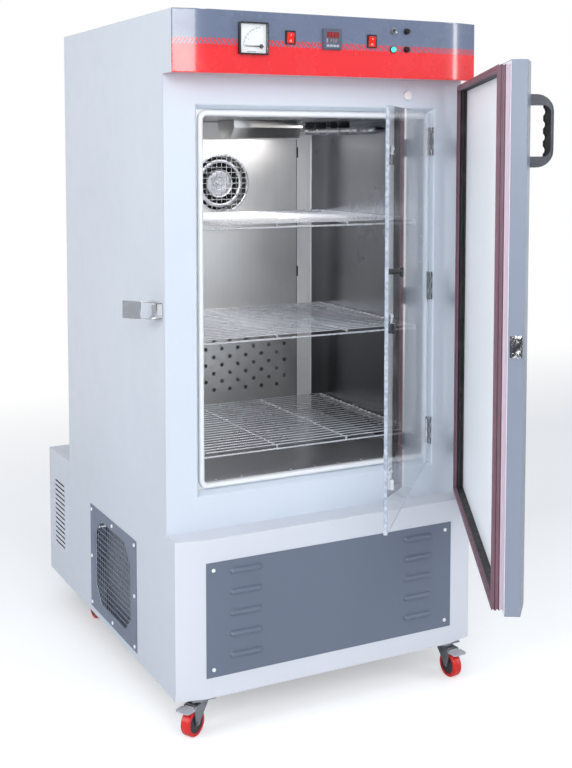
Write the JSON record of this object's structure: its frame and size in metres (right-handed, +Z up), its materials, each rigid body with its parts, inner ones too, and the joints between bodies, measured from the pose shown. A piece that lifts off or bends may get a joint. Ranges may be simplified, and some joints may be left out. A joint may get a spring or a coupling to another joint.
{
  "type": "humidity test cabinet with casters",
  "caption": "Upright steel humidity cabinet on casters with an insulated main door, a clear inner door and wire shelves",
  "frame": {"origin": "on the floor, under the middle of the main cabinet", "axes": "+X to the right seen from the front, +Y to the back, +Z up"},
  "size_m": [0.894, 1.703, 1.65],
  "materials": {
    "cabinet_paint": "light blue-grey semi-gloss powder coat",
    "frame_paint": "pale blue-white semi-gloss enamel",
    "fascia_paint": "slate and red printed enamel",
    "grey_panel_paint": "mid grey powder coat",
    "bare_steel": "satin sheet steel",
    "mirror_steel": "polished stainless sheet",
    "chrome_fittings": "bright chrome plate",
    "wire_steel": "bright wire",
    "zinc_steel": "zinc plate",
    "foam": "rigid foam",
    "door_lining": "pale enamel",
    "seal_rubber": "burgundy sponge rubber",
    "pale_rubber": "silicone rubber",
    "clear_pane": "clear acrylic",
    "black_plastic": "black moulded plastic",
    "grey_plastic": "dark grey moulded plastic",
    "red_plastic": "red moulded plastic",
    "white_plastic": "white moulded plastic",
    "green_lens": "green lens",
    "red_tread": "red polyurethane",
    "dark_paint": "black enamel",
    "fin_aluminium": "mill finish fins",
    "white_tank": "blow-moulded tank"
  },
  "bodies": {
    "cabinet": {"left_side_panel": "cabinet_paint", "right_side_panel": "cabinet_paint", "top_panel": "cabinet_paint", "rear_panel": "cabinet_paint", "machine_box": "cabinet_paint", "base_tray": "bare_steel", "front_frame": "frame_paint", "base_front": "frame_paint", "service_panel": "grey_panel_paint", "side_grille": "grey_panel_paint", "cover_screws": "zinc_steel", "control_fascia": "fascia_paint", "chamber_liner": "mirror_steel", "insulation_slabs": "foam", "mouth_seal": "pale_rubber", "duct_panel": "mirror_steel", "fan_guard": "wire_steel", "blower_motor": "dark_paint", "evaporator_coil": "mirror_steel", "chamber_light": "mirror_steel", "shelf_rails": "bare_steel", "compressor": "dark_paint", "condenser": "fin_aluminium", "steam_generator": "bare_steel", "water_tank": "white_tank", "panel_meter": "black_plastic", "temperature_controller": "black_plastic", "panel_fittings": "black_plastic", "indicator_lamp": "green_lens", "frame_hinge_posts": "chrome_fittings", "latch_base": "chrome_fittings", "caster_mounts": "zinc_steel"},
    "main_door": {"door_shell": "cabinet_paint", "door_core": "foam", "door_inner_panel": "door_lining", "door_seal": "seal_rubber", "door_handle": "grey_plastic", "door_metalwork": "chrome_fittings"},
    "inner_door": {"inner_door_pane": "clear_pane", "inner_door_knob": "black_plastic", "inner_door_metalwork": "chrome_fittings"},
    "lower_shelf": {"shelf_1": "wire_steel"},
    "middle_shelf": {"shelf_2": "wire_steel"},
    "upper_shelf": {"shelf_3": "wire_steel"},
    "toggle_clasp": {"latch_lever": "chrome_fittings"},
    "mains_switch": {"mains_rocker": "red_plastic"},
    "cooling_switch": {"cooling_rocker": "red_plastic"},
    "lamp_switch": {"toggle_lever": "chrome_fittings"},
    "meter_pointer": {"meter_needle": "red_plastic"},
    "frame_button": {"door_switch_button": "white_plastic"},
    "chamber_blower": {"blower_wheel": "fin_aluminium"},
    "condenser_blades": {"condenser_fan": "black_plastic"},
    "left_swivel": {"front_left_fork": "zinc_steel"},
    "left_pedal": {"front_left_pedal": "grey_plastic"},
    "left_wheel": {"front_left_wheel": "red_tread"},
    "right_swivel": {"front_right_fork": "zinc_steel"},
    "right_pedal": {"front_right_pedal": "grey_plastic"},
    "right_wheel": {"front_right_wheel": "red_tread"},
    "rear_left_roller": {"rear_left_wheel": "red_tread"},
    "rear_right_roller": {"rear_right_wheel": "red_tread"}
  },
  "joints": [
    {"name": "main_door_hinge", "type": "hinge", "parent": "cabinet", "child": "main_door", "pos_m": [0.412, -0.388, 0.983], "axis": [0, 0, 1], "range_deg": [-60, 57]},
    {"name": "inner_door_hinge", "type": "hinge", "parent": "cabinet", "child": "inner_door", "pos_m": [0.3155, -0.337, 0.989], "axis": [0, 0, 1], "range_deg": [-48.4, 45.98]},
    {"name": "lower_shelf_slide", "type": "slide", "parent": "cabinet", "child": "lower_shelf", "axis": [0, -1, 0], "range_m": [0, 0.03]},
    {"name": "middle_shelf_slide", "type": "slide", "parent": "cabinet", "child": "middle_shelf", "axis": [0, -1, 0], "range_m": [0, 0.03]},
    {"name": "upper_shelf_slide", "type": "slide", "parent": "cabinet", "child": "upper_shelf", "axis": [0, -1, 0], "range_m": [0, 0.03]},
    {"name": "clasp_pivot", "type": "hinge", "parent": "cabinet", "child": "toggle_clasp", "pos_m": [-0.423, -0.327, 0.975], "axis": [0, 0, 1], "range_deg": [-34, 30]},
    {"name": "mains_rocker_pivot", "type": "hinge", "parent": "cabinet", "child": "mains_switch", "pos_m": [-0.121, -0.413, 1.595], "axis": [1, 0, 0], "range_deg": [-16, 0]},
    {"name": "cooling_rocker_pivot", "type": "hinge", "parent": "cabinet", "child": "cooling_switch", "pos_m": [0.096, -0.413, 1.595], "axis": [1, 0, 0], "range_deg": [-16, 0]},
    {"name": "lamp_toggle_pivot", "type": "hinge", "parent": "cabinet", "child": "lamp_switch", "pos_m": [0.1555, -0.412, 1.622], "axis": [1, 0, 0], "range_deg": [-28, 0]},
    {"name": "meter_pointer_pivot", "type": "hinge", "parent": "cabinet", "child": "meter_pointer", "pos_m": [-0.19706, -0.4207, 1.57172], "axis": [0, 1, 0], "range_deg": [0, 90]},
    {"name": "frame_button_press", "type": "slide", "parent": "cabinet", "child": "frame_button", "axis": [0, 1, 0], "range_m": [0, 0.004], "stiffness_N_per_m": 300},
    {"name": "chamber_blower_spin", "type": "hinge", "parent": "cabinet", "child": "chamber_blower", "pos_m": [-0.014, 0.24, 1.244], "axis": [0, 1, 0], "continuous": true},
    {"name": "condenser_fan_spin", "type": "hinge", "parent": "cabinet", "child": "condenser_blades", "pos_m": [-0.3, 0.03, 0.207], "axis": [1, 0, 0], "continuous": true},
    {"name": "left_swivel_turn", "type": "hinge", "parent": "cabinet", "child": "left_swivel", "pos_m": [-0.34, -0.386, 0.075], "axis": [0, 0, 1], "continuous": true},
    {"name": "left_pedal_tilt", "type": "hinge", "parent": "left_swivel", "child": "left_pedal", "pos_m": [-0.37204, -0.4045, 0.069], "axis": [0.5, -0.866, 0], "range_deg": [-10, 15]},
    {"name": "left_wheel_roll", "type": "hinge", "parent": "left_swivel", "child": "left_wheel", "pos_m": [-0.36425, -0.4, 0.0315], "axis": [0.5, -0.866, 0], "continuous": true},
    {"name": "right_swivel_turn", "type": "hinge", "parent": "cabinet", "child": "right_swivel", "pos_m": [0.34, -0.386, 0.075], "axis": [0, 0, 1], "continuous": true},
    {"name": "right_pedal_tilt", "type": "hinge", "parent": "right_swivel", "child": "right_pedal", "pos_m": [0.34194, -0.42295, 0.069], "axis": [0.9986, 0.0523, 0], "range_deg": [-10, 15]},
    {"name": "right_wheel_roll", "type": "hinge", "parent": "right_swivel", "child": "right_wheel", "pos_m": [0.34147, -0.41396, 0.0315], "axis": [0.9986, 0.0523, 0], "continuous": true},
    {"name": "rear_left_wheel_roll", "type": "hinge", "parent": "cabinet", "child": "rear_left_roller", "pos_m": [-0.34, 0.364, 0.0315], "axis": [-1, 0, 0], "continuous": true},
    {"name": "rear_right_wheel_roll", "type": "hinge", "parent": "cabinet", "child": "rear_right_roller", "pos_m": [0.34, 0.364, 0.0315], "axis": [-1, 0, 0], "continuous": true}
  ],
  "couplings": [
    {"joint": "inner_door_hinge", "follows": "main_door_hinge", "ratio": 0.80667}
  ]
}
